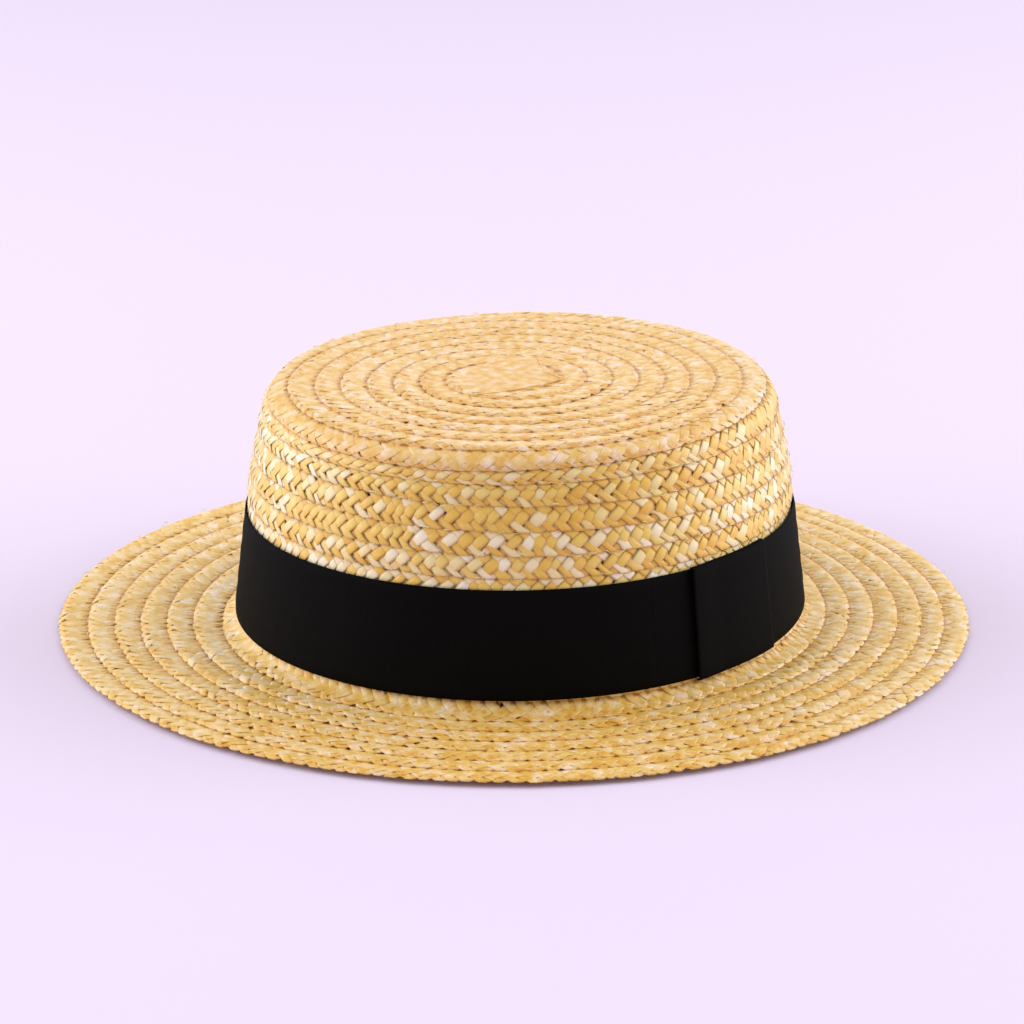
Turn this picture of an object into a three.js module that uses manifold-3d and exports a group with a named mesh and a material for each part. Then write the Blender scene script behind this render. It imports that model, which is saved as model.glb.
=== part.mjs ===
// A straw boater hat: a flat-topped crown and a flat brim, both of plait lapped
// in courses, with a dark ribbon round the crown and a keeper over its join.
// Millimetres, +Z up, the brim lying on z = 0, the wearer's front towards -Y
// and the wearer's left towards +X.
import * as THREE from 'three';
import { mergeVertices } from 'three/addons/utils/BufferGeometryUtils.js';
import Module from 'manifold-3d';

// Outline
const SEGMENTS = 56;
const CROWN_TOP_Z = 85;
const SHOULDER_RADIUS = 10;
const SHOULDER_FOOT_DEG = 8.2;
const TIP_FLAT_RADIUS = 74.85;
const BRIM_MEAN_RADIUS = 150.4;
const BRIM_OVAL = 3;
const BRIM_OVAL_TURN_DEG = 62.4;

// The crown's oval and where its axis stands behind the middle of the brim
const OVAL_SIDE_SCALE = 0.977;
const OVAL_LENGTH_SCALE = 1.0235;
const CROWN_AXIS_X = 0.9;
const CROWN_AXIS_Y = 2.2;

// Plait
const COURSE_PITCH = 8.35;
const LIP_STEP = 1.1;
const WALL = 2.5;
const TIP_COURSES = 9;
const FIRST_TIP_LIP = 6.45;

// Lips of the courses down the crown's side, top to bottom
const SIDE_LIPS = [
  { radius: 84.85, z: 75.6 },
  { radius: 86.35, z: 67.7 },
  { radius: 87.85, z: 59.8 },
  { radius: 89.1, z: 51.9 },
  { radius: 89.9, z: 44.0 },
  { radius: 90.0, z: 36.1 },
  { radius: 91.0, z: 28.2 },
  { radius: 91.95, z: 20.3 },
  { radius: 92.9, z: 12.4 },
];
const CROWN_FOOT = { radius: 93.7, z: 6.0, innerRadius: 91.2, innerZ: 7.15 };

// Brim
const BRIM_FIRST_LIP = 101.5;
const BRIM_PITCH = 8.15;
const BRIM_COURSES = 6;
const BRIM_TOP_Z = 2.6;
const BRIM_LAP = 2.7;
const RIM_THICKNESS = 1.6;
const RIM_ROUND = 0.6;
const COLLAR_TOP = { radius: 90.6, z: 9 };
const COLLAR_FOOT = { radius: 90.85, z: 7.15 };
const COLLAR_WALL = 1.4;

// Ribbon and keeper
const RIBBON_THICKNESS = 1;
const PIECE_GAP = 0.3;
const RIBBON_FOOT = { radius: 95, z: 5.9 };
const RIBBON_HEAD = { radius: 90.7, z: 41.35 };
const KEEPER_WIDTH_DEG = 22.8;
const KEEPER_AZIMUTH_DEG = 20.4;
const KEEPER_PLATE = 1.1;
const WEDGE_REACH = 140;
const WEDGE_HEIGHT = 60;

const wasm = await Module();
wasm.setup();

const radians = THREE.MathUtils.degToRad;

// Turns a profile of [radius, height] pairs about the Z axis.
function turned(profile) {
  const points = profile.map(([radius, z]) => new THREE.Vector2(radius, z));
  const geometry = new THREE.LatheGeometry(points, SEGMENTS);
  geometry.rotateX(Math.PI / 2);
  geometry.deleteAttribute('normal');
  geometry.deleteAttribute('uv');
  return geometry;
}

// Moves every vertex from its circle to the place that shape(radius, angle) gives.
function reshaped(geometry, shape) {
  const position = geometry.getAttribute('position');
  for (let i = 0; i < position.count; i += 1) {
    const x = position.getX(i);
    const y = position.getY(i);
    const place = shape(Math.hypot(x, y), Math.atan2(y, x));
    position.setXY(i, place.x, place.y);
  }
  const welded = mergeVertices(geometry, 1e-4);
  welded.computeVertexNormals();
  return welded;
}

// The crown's oval: longer front to back than side to side.
function crownOval(radius, angle) {
  return new THREE.Vector2(
    CROWN_AXIS_X + radius * OVAL_SIDE_SCALE * Math.cos(angle),
    CROWN_AXIS_Y + radius * OVAL_LENGTH_SCALE * Math.sin(angle),
  );
}

// The brim's edge: a wide oval, turned a little from the crown's.
function brimOval(angle) {
  const turn = 2 * (angle - radians(BRIM_OVAL_TURN_DEG));
  const radius = BRIM_MEAN_RADIUS + BRIM_OVAL * Math.cos(turn);
  return new THREE.Vector2(radius * Math.cos(angle), radius * Math.sin(angle));
}

// Across the brim the outline passes evenly from the crown's oval to the edge's.
function brimShape(radius, angle) {
  if (radius <= BRIM_FIRST_LIP) {
    return crownOval(radius, angle);
  }
  const share = (radius - BRIM_FIRST_LIP) / (BRIM_MEAN_RADIUS - BRIM_FIRST_LIP);
  return crownOval(BRIM_FIRST_LIP, angle).lerp(brimOval(angle), share);
}

// A point on the crown's outer line, at a distance from the tip's middle.
function shoulderPoint(distance) {
  if (distance <= TIP_FLAT_RADIUS) {
    return { radius: distance, z: CROWN_TOP_Z, out: 0, up: 1 };
  }
  const angle = (distance - TIP_FLAT_RADIUS) / SHOULDER_RADIUS;
  const out = Math.sin(angle);
  const up = Math.cos(angle);
  return {
    radius: TIP_FLAT_RADIUS + SHOULDER_RADIUS * out,
    z: CROWN_TOP_Z - SHOULDER_RADIUS * (1 - up),
    out,
    up,
  };
}

function sunk(point, depth) {
  return [point.radius - depth * point.out, point.z - depth * point.up];
}

// Crown: each course of the tip and side stands over the next one out by a lip.
function crownProfile() {
  const foot = radians(90 - SHOULDER_FOOT_DEG);
  const shoulderEnd = TIP_FLAT_RADIUS + SHOULDER_RADIUS * foot;
  const out = Math.cos(radians(SHOULDER_FOOT_DEG));
  const up = Math.sin(radians(SHOULDER_FOOT_DEG));
  const profile = [[0, CROWN_TOP_Z]];
  for (let course = 0; course <= TIP_COURSES; course += 1) {
    const lip = shoulderPoint(FIRST_TIP_LIP + course * COURSE_PITCH);
    profile.push(sunk(lip, 0));
    profile.push(sunk(lip, LIP_STEP));
  }
  const halfway = (FIRST_TIP_LIP + TIP_COURSES * COURSE_PITCH + shoulderEnd) / 2;
  profile.push(sunk(shoulderPoint(halfway), LIP_STEP / 2));
  for (const { radius, z } of SIDE_LIPS) {
    profile.push(sunk({ radius, z, out, up }, 0));
    profile.push(sunk({ radius, z, out, up }, LIP_STEP));
  }
  profile.push([CROWN_FOOT.radius, CROWN_FOOT.z]);
  profile.push([CROWN_FOOT.innerRadius, CROWN_FOOT.innerZ]);
  const inside = [SIDE_LIPS[7], SIDE_LIPS[4], SIDE_LIPS[2]];
  for (const { radius, z } of inside) {
    profile.push(sunk({ radius, z, out, up }, WALL));
  }
  const shoulderSteps = 4;
  for (let step = 0; step <= shoulderSteps; step += 1) {
    const distance = shoulderEnd - (step / shoulderSteps) * (shoulderEnd - TIP_FLAT_RADIUS);
    profile.push(sunk(shoulderPoint(distance), WALL));
  }
  profile.push([TIP_FLAT_RADIUS / 2, CROWN_TOP_Z - WALL]);
  profile.push([0, CROWN_TOP_Z - WALL]);
  return profile.reverse();
}

// Brim: a collar inside the crown's foot curls out into lapped flat courses.
function brimProfile() {
  const lips = [];
  for (let course = 0; course < BRIM_COURSES; course += 1) {
    lips.push(BRIM_FIRST_LIP + course * BRIM_PITCH);
  }
  const outside = [
    [COLLAR_TOP.radius, COLLAR_TOP.z],
    [COLLAR_FOOT.radius, COLLAR_FOOT.z],
    [91.7, 6.3],
    [93.1, 4.85],
    [94.4, 3.65],
    [96.6, 2.95],
  ];
  for (const lip of lips) {
    outside.push([lip, BRIM_TOP_Z]);
    outside.push([lip, BRIM_TOP_Z - LIP_STEP]);
  }
  const rim = [
    [BRIM_MEAN_RADIUS - RIM_ROUND, RIM_THICKNESS],
    [BRIM_MEAN_RADIUS, RIM_THICKNESS - RIM_ROUND],
    [BRIM_MEAN_RADIUS - RIM_ROUND, 0],
  ];
  const underside = [];
  for (const lip of lips.slice(1).reverse()) {
    underside.push([lip - BRIM_LAP, 0]);
    underside.push([lip - BRIM_LAP, LIP_STEP]);
  }
  underside.push([BRIM_FIRST_LIP - BRIM_LAP, 0]);
  const inside = [
    [95, 2],
    [93.1, 3],
    [91.2, 4.3],
    [90.1, 5.5],
    [COLLAR_FOOT.radius - COLLAR_WALL, 6.8],
    [COLLAR_TOP.radius - COLLAR_WALL, COLLAR_TOP.z],
  ];
  const profile = [...outside, ...rim, ...underside, ...inside];
  profile.push(profile[0]);
  return profile.reverse();
}

// The ribbon's outer line at a height, leaning in with the crown.
function ribbonRadius(z) {
  const lean = (RIBBON_HEAD.radius - RIBBON_FOOT.radius) / (RIBBON_HEAD.z - RIBBON_FOOT.z);
  return RIBBON_FOOT.radius + lean * (z - RIBBON_FOOT.z);
}

function ribbonProfile() {
  const profile = [
    [RIBBON_FOOT.radius - RIBBON_THICKNESS, RIBBON_FOOT.z],
    [RIBBON_FOOT.radius, RIBBON_FOOT.z],
    [RIBBON_HEAD.radius, RIBBON_HEAD.z],
    [RIBBON_HEAD.radius - RIBBON_THICKNESS, RIBBON_HEAD.z],
  ];
  profile.push(profile[0]);
  return profile;
}

// Keeper: a strip of the same ribbon that hooks over both edges of the band.
function keeperProfile() {
  const lowZ = RIBBON_FOOT.z - PIECE_GAP;
  const highZ = RIBBON_HEAD.z + PIECE_GAP;
  const outer = (z) => ribbonRadius(z) + PIECE_GAP + KEEPER_PLATE;
  const face = (z) => ribbonRadius(z) + PIECE_GAP;
  const back = (z) => ribbonRadius(z) - RIBBON_THICKNESS;
  const profile = [
    [back(lowZ), lowZ - KEEPER_PLATE],
    [outer(lowZ), lowZ - KEEPER_PLATE],
    [outer(highZ), highZ + KEEPER_PLATE],
    [back(highZ), highZ + KEEPER_PLATE],
    [back(highZ), highZ],
    [face(highZ), highZ],
    [face(lowZ), lowZ],
    [back(lowZ), lowZ],
  ];
  profile.push(profile[0]);
  return profile;
}

function toSolid(geometry) {
  const position = geometry.getAttribute('position');
  const mesh = new wasm.Mesh({
    numProp: 3,
    vertProperties: new Float32Array(position.array),
    triVerts: new Uint32Array(geometry.getIndex().array),
  });
  mesh.merge();
  return new wasm.Manifold(mesh);
}

function fromSolid(solid) {
  const mesh = solid.getMesh();
  const geometry = new THREE.BufferGeometry();
  const position = new THREE.BufferAttribute(new Float32Array(mesh.vertProperties), 3);
  geometry.setAttribute('position', position);
  geometry.setIndex(new THREE.BufferAttribute(new Uint32Array(mesh.triVerts), 1));
  geometry.computeVertexNormals();
  return geometry;
}

// A slice of pie standing on the crown's axis, as wide as the keeper.
function keeperWedge() {
  const half = radians(KEEPER_WIDTH_DEG / 2);
  const middle = radians(KEEPER_AZIMUTH_DEG);
  const slice = new THREE.Shape();
  slice.moveTo(CROWN_AXIS_X, CROWN_AXIS_Y);
  for (const side of [-half, half]) {
    const angle = middle + side;
    slice.lineTo(
      CROWN_AXIS_X + WEDGE_REACH * Math.cos(angle),
      CROWN_AXIS_Y + WEDGE_REACH * Math.sin(angle),
    );
  }
  slice.closePath();
  const wedge = new THREE.ExtrudeGeometry(slice, { depth: WEDGE_HEIGHT, bevelEnabled: false });
  wedge.deleteAttribute('normal');
  wedge.deleteAttribute('uv');
  return mergeVertices(wedge, 1e-4);
}

function named(name, geometry, color, roughness) {
  const material = new THREE.MeshStandardMaterial({ color, roughness, metalness: 0 });
  const mesh = new THREE.Mesh(geometry, material);
  mesh.name = name;
  return mesh;
}

const crown = reshaped(turned(crownProfile()), crownOval);
const brim = reshaped(turned(brimProfile()), brimShape);
const band = reshaped(turned(ribbonProfile()), crownOval);
const keeperRing = toSolid(reshaped(turned(keeperProfile()), crownOval));
const keeper = fromSolid(keeperRing.intersect(toSolid(keeperWedge())));

const hat = new THREE.Group();
hat.name = 'straw_boater_hat';
hat.add(named('crown', crown, 0xdcc48e, 0.45));
hat.add(named('brim', brim, 0xdcc48e, 0.45));
hat.add(named('hat_band', band, 0x1f1d1f, 0.75));
hat.add(named('band_keeper', keeper, 0x1d1b1d, 0.75));

export default hat;
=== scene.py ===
"""A straw boater hat: lapped straw plait sewn round in one spiral, with a dark ribbed ribbon.

Lengths are worked out in millimetres and scaled to metres as each mesh is made.
"""
import math
import bpy
import numpy as np
from mathutils import Matrix, Vector


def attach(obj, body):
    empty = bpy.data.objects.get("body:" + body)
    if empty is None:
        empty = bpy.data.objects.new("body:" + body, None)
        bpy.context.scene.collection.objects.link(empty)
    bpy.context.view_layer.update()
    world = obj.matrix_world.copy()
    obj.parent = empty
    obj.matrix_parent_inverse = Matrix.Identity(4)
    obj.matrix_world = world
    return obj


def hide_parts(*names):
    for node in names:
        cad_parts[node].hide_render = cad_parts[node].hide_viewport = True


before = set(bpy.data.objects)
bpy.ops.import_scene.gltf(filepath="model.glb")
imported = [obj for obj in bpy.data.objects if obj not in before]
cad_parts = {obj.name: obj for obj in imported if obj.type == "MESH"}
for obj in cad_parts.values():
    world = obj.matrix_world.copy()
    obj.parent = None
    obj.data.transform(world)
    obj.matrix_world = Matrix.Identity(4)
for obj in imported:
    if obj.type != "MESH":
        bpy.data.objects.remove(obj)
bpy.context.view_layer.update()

MM = 0.001
TURN = 2 * math.pi

# The camera, in millimetres in the hat's frame
CAMERA_AZIMUTH_DEG = 62.4
CAMERA_ELEVATION_DEG = 19.36
CAMERA_ROLL = 0.0028
CAMERA_PLACE = (1002.8, -524.8, 433.8)
FOCAL_PIXELS = 3571.2
IMAGE_PIXELS = 1024
SENSOR_WIDTH = 36.0

# The crown: its oval's centre and proportions, its flat tip and the bend of its shoulder
CROWN_AXIS = (0.9, 2.2)
OVAL_SIDE = 0.977
OVAL_LENGTH = 1.0235
TIP_Z = 84.7
TIP_FLAT = 74.85
SHOULDER_RADIUS = 10.0
SHOULDER_BEND = math.radians(82)

# The brim: an oval about BRIM_RADIUS, raised at the rim on its front side
BRIM_START = 101.5
BRIM_RADIUS = 150.4
BRIM_OVAL = 3.0
BRIM_OVAL_TURN = math.radians(62.4)
FRONT_DEG = -27.6
FRONT_ANGLE = math.radians(FRONT_DEG)
RIM_RISE = 0.6

# The tip's rings sit off centre. Further out the shift becomes a slide along the outer
# line, between the first pair of distances, and dies away between the second pair.
RING_OFFSET = 5.6
RING_OFFSET_ANGLE = math.radians(FRONT_DEG - 39)
SLIDE_STARTS = (40, 70)
SLIDE_ENDS = (79, 96)

# The outer line of the lapped courses below the shoulder: radius, height
SIDE_LINE = np.array([
    (84.95, 76.2), (86.65, 67.7), (88.35, 59.8), (89.8, 51.9), (90.5, 44.0), (90.0, 36.1),
    (90.9, 28.2), (91.9, 20.3), (92.9, 12.4), (93.6, 6.6), (94.3, 4.9), (95.4, 3.7), (97.0, 2.95),
    (99.0, 2.65), (101.5, 2.6), (142.3, 2.7), (147.0, 2.6), (150.4, 2.35), (158.0, 2.35),
])
SIDE_STEP = 0.25
SIDE_SMOOTHING = 9
LINE_STEP = 0.2

# Lips of the courses where they pass the front, from the tip's middle to the brim's edge
TIP_LIPS = [6.6, 14.9, 23.2, 31.6, 40.2, 48.9, 57.7, 65.8, 74.3, 82.9, 89.8]
SIDE_LIP_HEIGHTS = [67.6, 59.7, 52.1, 44.7, 36.8, 28.9, 21.0, 13.1, 5.4]
BRIM_LIPS = [101.5, 109.6, 117.7, 125.9, 134.0, 142.3, 150.4]
FIRST_COURSE = 8.3

# On the brim the spiral moves out mostly at the back: the part of a turn in which it does,
# the share of the move that waits for it, and the part of the last turn
MOVES_OUT = (0.36, 0.64)
WAITING_SHARE = 0.6
LAST_MOVES_OUT = (0.42, 0.58)

# The plait: five flat straws over and under each other in turn
PLAIT_WIDTH = 12.5
STRAWS = 5
STRAW_SPACING = 4.4
LEG = STRAWS * STRAW_SPACING / 2
SLANT = math.atan2(PLAIT_WIDTH, LEG)
STRAW_HALF = 1.78
BULGE = 0.24
BULGE_CHANGE = 0.10
OVER = 0.30
FIRST_TURN = -0.2
LAST_PLAIT_TURN = 26.53
STEPS_A_TURN = 720

# One leg of a straw, from one edge of the plait to the other: how far it has come, in
# fifths of the way; its level; how far its section has swung square to it; its width.
LEG_STEPS = np.array([
    # way, level, square, width
    (0.00, 0.00, 0.00, 1.00),
    (0.20, -0.22, 0.20, 0.96),
    (1.00, -0.26, 1.00, 0.95),
    (1.27, 0.10, 1.00, 1.00),
    (1.74, 0.34, 1.00, 1.04),
    (2.26, 0.33, 1.00, 1.04),
    (2.68, -0.18, 1.00, 0.97),
    (3.34, -0.26, 1.00, 0.90),
    (3.62, 0.00, 1.00, 0.80),
    (3.95, 0.14, 1.00, 0.72),
    (4.45, 0.17, 0.70, 0.76),
    (4.84, 0.12, 0.15, 0.96),
])
TURNS_OVER = (3.3, 3.7)
# The straw's section: place across it, and which face; the faces change places at a fold
RING = np.array([(-1.0, 0), (-0.45, 1), (0.45, 1), (1.0, 0), (0.45, -1), (-0.45, -1)])
RING_END = np.array([[3, 2, 1, 0], [0, 5, 4, 3]])

# How the plait is finished, by turn: thickness, pressing, how far each lip stands out
FINISH = np.array([
    # turn, relief, press, lip step
    (2.0, 0.24, 0.95, 0.06),
    (4.2, 0.42, 0.95, 0.80),
    (9.2, 0.42, 0.95, 0.85),
    (10.3, 0.85, 0.00, 1.15),
    (18.8, 0.85, 0.00, 1.15),
    (19.8, 0.50, 0.95, 1.10),
])
MOST_PRESSED = 0.95

# What pressing does: faces broader, levels more even, straws wider, and less of all that
# in the hollow beside the next lip
PRESSED_FACE = 0.35
PRESSED_LEVEL = 0.70
PRESSED_WIDTH = 0.12
HOLLOW = (5.6, 6.8)
HOLLOW_SHARE = 0.4

# The plait's edges, where domed and where pressed: how far each fold is notched, how far
# the lip rolls over and drops, and how far the knuckles of the folds stand up
NOTCH = (0.35, 0.70)
EDGE_ROLL = (0.22, 0.40)
EDGE_DROP = (0.20, 0.66)
KNUCKLE = (0.10, 0.36)
ROLL_REACH = 3.0
DROP_REACH = 0.9
FOLD_OUT = 0.14
FOLD_IN = -0.10

DEEPEST_TUCK = 1.6
SIDE_SOFTENING = 0.65
SIDE_FLATNESS = 0.85

# How far the straws differ: along and across the plait, in girth and in height
DRIFT = 0.38
SLIP = 0.20
LEG_GIRTH = 0.10
SLOW_GIRTH = 0.06
EDGE_GIRTH = 0.14
LEVEL_CHANGE = 0.09
EDGE_SINK = 0.14

# A straw's shade: the chance that a leg begins a new straw, the share of straws that
# aren't pale, and the parts played by the straw, by the leg and by the stretch of plait
NEW_STRAW = 1 / 9
NOT_PALE = 0.56
STRAW_SHADE, LEG_SHADE, STRETCH_SHADE, SHADE_BASE = 0.52, 0.26, 0.34, -0.10

# The plait's pitch wanders by a slow random walk, drawn at marks along it
PITCH_WANDER = 1.5
PITCH_STEP = 15.0

# The values that the straw's material reads from each point
STRAW_VALUES = (
    "straw_tone", "straw_painted_shade", "plait_length", "below_lip", "pressing", "combed", "own_lip",
    "knuckle",
)
FAR_FROM_LIP = 9.0

# The ribbon and its keeper
RIBBON_LOW = 5.9
RIBBON_HIGH = 41.4
RIBBON_LOW_RADIUS = 95.0
RIBBON_HIGH_RADIUS = 90.66
RIBBON_MIDDLE_RADIUS = 93
RIBBON_THICKNESS = 0.5
RIBBON_WAVE = 0.10
RIBBON_EDGE_ROUNDING = 0.12
SIDE_COURSE = 7.9
KEEPER_MIDDLE = math.radians(20.4)
KEEPER_HALF = math.radians(11.4)
KEEPER_STAND = 0.55
KEEPER_BACK = 0.9
KEEPER_FREE_EDGE = 0.35

# Colours of the straw by its tone, where domed and where pressed
SIDE_SHADES = [
    (0.00, (0.69, 0.35, 0.05)),
    (0.20, (0.76, 0.45, 0.07)),
    (0.42, (0.79, 0.53, 0.12)),
    (0.62, (0.80, 0.61, 0.22)),
    (0.84, (0.83, 0.69, 0.40)),
    (1.00, (0.89, 0.78, 0.62)),
]
PRESSED_SHADES = [
    (0.00, (0.76, 0.45, 0.08)),
    (0.25, (0.80, 0.53, 0.13)),
    (0.50, (0.84, 0.60, 0.22)),
    (0.75, (0.87, 0.67, 0.35)),
    (1.00, (0.92, 0.76, 0.58)),
]
# Painted shade colours: brown below a lip and in dashes between knuckles, gold at the straws' edges
# and where they pass under, and a golden band and brown slits below the lips
UNDER_LIP_SHADE_BROWN = (0.74, 0.50, 0.24)
DASH_SHADE_BROWN = (0.54, 0.33, 0.12)
CREVICE_SHADE_GOLD = (0.86, 0.64, 0.36)
LIP_SHADE_GOLD = (0.95, 0.80, 0.52)
SLIT_SHADE_BROWN = (0.42, 0.21, 0.04)
# Painted shade in slits below each lip: pitch, reach and strength
CROWN_SLIT_SHADE = (4.4, 1.5, 0.6)
BRIM_SLIT_SHADE = (2.7, 2.5, 0.75)
# Painted shade laid over the pressed straw, darker on the crown than on the brim, with a shift of
# hue
CROWN_SHADE_TINT = (0.94, 0.87, 0.88)
BRIM_SHADE_TINT = (1.0, 0.97, 0.96)
RIBBON_BLACK = (0.0021, 0.0018, 0.0020, 1)
RIB_PITCH = 0.0007

# The plait's first end, pressed flat over the tip's middle: its outline and its thickness
START_OUTLINE = np.array([
    (12.1, 12.3), (15.1, 3.9), (16.1, -5.9), (15.4, -16.5), (9.0, -22.0), (-2.0, -20.0),
    (-12.0, -12.0), (-17.0, 0.0), (-16.5, 10.0), (-13.0, 15.9), (-4.0, 12.4), (3.3, 10.2),
    (8.2, 10.8),
])
START_RINGS = np.array([
    # share of the way out, height
    (0.02, 0.05), (0.12, 0.05), (0.24, 0.05), (0.36, 0.05), (0.48, 0.05), (0.60, 0.05),
    (0.70, 0.04), (0.80, 0.02), (0.88, -0.02), (0.94, -0.08), (0.985, -0.20), (1.0, -0.40),
    (0.95, -0.60), (0.02, -0.60),
])
# Its edge, from its back corner round its point and along its lip
START_EDGE = np.array([
    (-13.0, 15.9), (-5.0, 13.2), (1.0, 10.8), (4.5, 10.4), (8.5, 11.6), (12.1, 12.3), (13.6, 9.0),
    (15.1, 3.9), (16.1, -5.9), (15.8, -14.0), (14.6, -21.0),
])
START_EDGE_GIRTH = 0.42

# The setting: a pale floor, a surround that is dimmer on the camera's side and brighter
# near the horizon, and two big soft lights
FLOOR_HALF = 6000
FLOOR_COLOUR = (0.745, 0.65, 0.82, 1)
WORLD_COLOUR = (1.0, 0.985, 1.0, 1)
WORLD_BRIGHT = 0.86
WORLD_DIM = 0.42
WORLD_LOW = 1.55
LIGHT_AIM = (0, 0, 0.04)
LIGHT_SIZE = 2.0
LIGHT_COLOUR = (1.0, 0.995, 0.99)
SIDE_LIGHTS = [
    # name, azimuth from the camera's, elevation, distance, power
    ("left_light", -94, 20, 1.8, 33),
    ("right_light", 99, 20, 1.9, 35),
]


# The hat's outer line

def smooth(x, low, high):
    """0 below low, 1 above high, and 3u^2 - 2u^3 between."""
    u = np.clip((x - low) / (high - low), 0, 1)
    return u * u * (3 - 2 * u)


def meridian_table():
    """Radius and height along the outer line from the tip's middle, at each distance.

    A flat line, a part of a circle for the shoulder, then a smoothed SIDE_LINE.
    """
    flat = np.linspace(0, TIP_FLAT, 160)
    bend = np.linspace(0, SHOULDER_BEND, 40)[1:]
    radius = np.concatenate([flat, TIP_FLAT + SHOULDER_RADIUS * np.sin(bend)])
    level = np.full(len(flat), TIP_Z)
    height = np.concatenate([level, TIP_Z - SHOULDER_RADIUS * (1 - np.cos(bend))])
    steps = np.hypot(*np.diff(SIDE_LINE, axis=0).T)
    marks = np.concatenate([[0], np.cumsum(steps)])
    fine = np.arange(0, marks[-1], SIDE_STEP)
    side = np.stack([np.interp(fine, marks, SIDE_LINE[:, i]) for i in (0, 1)])
    kernel = np.hanning(SIDE_SMOOTHING)
    kernel /= kernel.sum()
    margin = SIDE_SMOOTHING // 2
    padded = np.pad(side, ((0, 0), (margin, margin)), mode="edge")
    side = np.stack([np.convolve(row, kernel, mode="valid") for row in padded])
    radius = np.concatenate([radius, side[0][2:]])
    height = np.concatenate([height, side[1][2:]])
    distance = np.concatenate([[0], np.cumsum(np.hypot(np.diff(radius), np.diff(height)))])
    grid = np.arange(0, distance[-1], LINE_STEP)
    return grid, np.interp(grid, distance, radius), np.interp(grid, distance, height)


LINE_DISTANCE, LINE_RADIUS, LINE_HEIGHT = meridian_table()
LINE_OUT = np.gradient(LINE_HEIGHT, LINE_DISTANCE) * -1
LINE_UP = np.gradient(LINE_RADIUS, LINE_DISTANCE)


def distance_at_height(z):
    """The distance along the outer line at which the crown's side has height z."""
    side = (LINE_DISTANCE > 88) & (LINE_RADIUS < BRIM_START)
    return float(np.interp(-z, -LINE_HEIGHT[side], LINE_DISTANCE[side]))


def distance_at_radius(r):
    """The distance along the outer line at which the brim has radius r."""
    brim = LINE_RADIUS > 96
    return float(np.interp(r, LINE_RADIUS[brim], LINE_DISTANCE[brim]))


LIPS = np.array(
    TIP_LIPS
    + [distance_at_height(z) for z in SIDE_LIP_HEIGHTS]
    + [distance_at_radius(r) for r in BRIM_LIPS]
)
FIRST_BRIM_TURN = len(TIP_LIPS) + len(SIDE_LIP_HEIGHTS)
LAST_TURN = len(LIPS) - 1


def crown_oval(radius, angle):
    """Centre + (radius * side scale * cos, radius * length scale * sin)."""
    x = CROWN_AXIS[0] + radius * OVAL_SIDE * np.cos(angle)
    y = CROWN_AXIS[1] + radius * OVAL_LENGTH * np.sin(angle)
    return x, y


def hat_point(distance, angle, lift):
    """A point over the hat's outer line: the meridian's point plus lift along its normal.

    Turned about the crown's axis on the crown's oval. Over the brim the oval passes
    evenly to the brim's own, and the height gains the rim's rise times the square of
    the share of the way out, most at the front.
    """
    distance = np.maximum(distance, 0.1)
    slide = smooth(distance, *SLIDE_STARTS) * (1 - smooth(distance, *SLIDE_ENDS))
    distance = distance + slide * RING_OFFSET * np.cos(angle - RING_OFFSET_ANGLE)
    radius = np.interp(distance, LINE_DISTANCE, LINE_RADIUS)
    radius = radius + lift * np.interp(distance, LINE_DISTANCE, LINE_OUT)
    height = np.interp(distance, LINE_DISTANCE, LINE_HEIGHT)
    height = height + lift * np.interp(distance, LINE_DISTANCE, LINE_UP)
    x, y = crown_oval(np.minimum(radius, BRIM_START), angle)
    shift = (1 - smooth(distance, *SLIDE_STARTS)) * RING_OFFSET
    x = x + shift * math.cos(RING_OFFSET_ANGLE)
    y = y + shift * math.sin(RING_OFFSET_ANGLE)
    share = np.clip((radius - BRIM_START) / (BRIM_RADIUS - BRIM_START), 0, 1.2)
    edge = BRIM_RADIUS + BRIM_OVAL * np.cos(2 * (angle - BRIM_OVAL_TURN))
    x = x + share * (edge * np.cos(angle) - x)
    y = y + share * (edge * np.sin(angle) - y)
    height = height + RIM_RISE * share * share * (0.5 + 0.5 * np.cos(angle - FRONT_ANGLE))
    return np.stack([x, y, height], axis=-1)


# Meshes

def surface(name, points, faces, uv=None, shade=True):
    """A mesh object from points in millimetres and rows of four corners."""
    mesh = bpy.data.meshes.new(name)
    faces = np.asarray(faces)
    mesh.vertices.add(len(points))
    mesh.vertices.foreach_set("co", (np.asarray(points, dtype=np.float64) * MM).ravel())
    mesh.loops.add(faces.size)
    mesh.loops.foreach_set("vertex_index", faces.ravel().astype(np.int32))
    mesh.polygons.add(len(faces))
    starts = np.arange(0, faces.size, faces.shape[1], dtype=np.int32)
    mesh.polygons.foreach_set("loop_start", starts)
    mesh.polygons.foreach_set("use_smooth", np.full(len(faces), shade, dtype=bool))
    mesh.update(calc_edges=True)
    mesh.validate()
    if uv is not None:
        layer = mesh.uv_layers.new(name="UVMap")
        corners = np.empty(len(mesh.loops), dtype=np.int32)
        mesh.loops.foreach_get("vertex_index", corners)
        layer.data.foreach_set("uv", (np.asarray(uv) * MM)[corners].ravel())
    piece = bpy.data.objects.new(name, mesh)
    bpy.context.scene.collection.objects.link(piece)
    return piece


def ring_faces(rings, ring, joined=False):
    """Four-cornered faces from each ring of points to the next one.

    Joined, they also run from the last ring back to the first.
    """
    row = np.arange(rings if joined else rings - 1)[:, None]
    here, there = row * ring, (row + 1) % rings * ring
    place = np.arange(ring)[None, :]
    after = (place + 1) % ring
    corners = [here + place, here + after, there + after, there + place]
    return np.stack(corners, axis=-1).reshape(-1, 4)


def turned_over(faces):
    """The same faces with their fronts and backs exchanged, from the same first corner."""
    return faces[:, [0, 3, 2, 1]]


def put_values(piece, name, values):
    """One number for each point of a piece, for its material to read."""
    layer = piece.data.attributes.new(name, "FLOAT", "POINT")
    layer.data.foreach_set("value", np.asarray(values, dtype=np.float32))


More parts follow.
